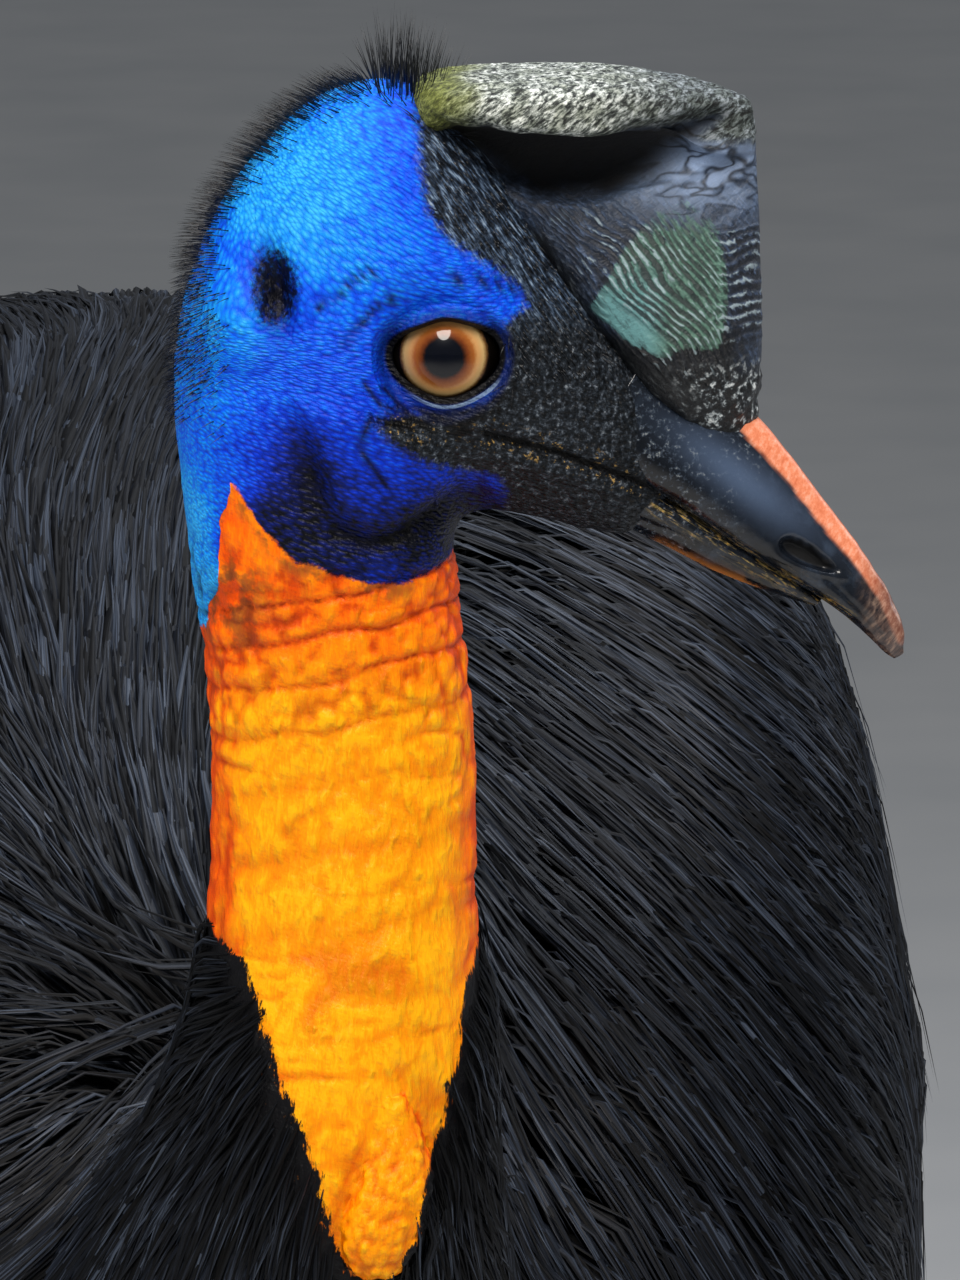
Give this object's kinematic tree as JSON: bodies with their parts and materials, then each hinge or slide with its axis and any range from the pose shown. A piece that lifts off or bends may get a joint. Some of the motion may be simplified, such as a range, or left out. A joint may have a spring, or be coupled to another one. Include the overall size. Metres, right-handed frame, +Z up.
{
  "type": "northern cassowary",
  "caption": "Life-size standing northern cassowary with a tall casque, a blue head, an orange neck with a short wattle, and black hair-like plumage.",
  "frame": {"origin": "on the floor, under the middle of the bird's bounding box", "axes": "+Z up, the body faces -Y, the bird's left side is +X and its bill points along +X, 4 degrees towards -Y"},
  "size_m": [0.4342, 1.0256, 1.1635],
  "materials": {
    "plumage": "hair-like black feathers with a soft grey sheen",
    "blue_skin": "bare granular skin, bright blue over the crown and nape, royal blue round the eye and dark blue on the throat",
    "orange_skin": "bare wrinkled skin, deep orange in the folds and yellow-orange between them",
    "casque": "ridged dark keratin, half gloss, with a flaking grey top plate",
    "bill": "polished dark keratin with an orange stripe along the ridge",
    "eye": "wet, amber iris and black pupil under a clear cornea",
    "leg_scales": "grey-brown horny scales",
    "claw": "worn dark keratin"
  },
  "bodies": {
    "root": {"head": "blue_skin", "casque": "casque", "bill_upper": "bill", "bill_lower": "bill", "neck_upper": "orange_skin", "neck_middle": "orange_skin", "neck_lower": "plumage", "wattle": "orange_skin", "breast": "plumage", "trunk": "plumage", "tail": "plumage", "eye_right": "eye", "ear_right": "blue_skin", "wing_right": "plumage", "thigh_right": "plumage", "shank_right": "leg_scales", "foot_right": "leg_scales", "toe_inner_right": "leg_scales", "claw_inner_right": "claw", "toe_middle_right": "leg_scales", "claw_middle_right": "claw", "toe_outer_right": "leg_scales", "claw_outer_right": "claw", "eye_left": "eye", "ear_left": "blue_skin", "wing_left": "plumage", "thigh_left": "plumage", "shank_left": "leg_scales", "foot_left": "leg_scales", "toe_inner_left": "leg_scales", "claw_inner_left": "claw", "toe_middle_left": "leg_scales", "claw_middle_left": "claw", "toe_outer_left": "leg_scales", "claw_outer_left": "claw"}
  },
  "joints": []
}
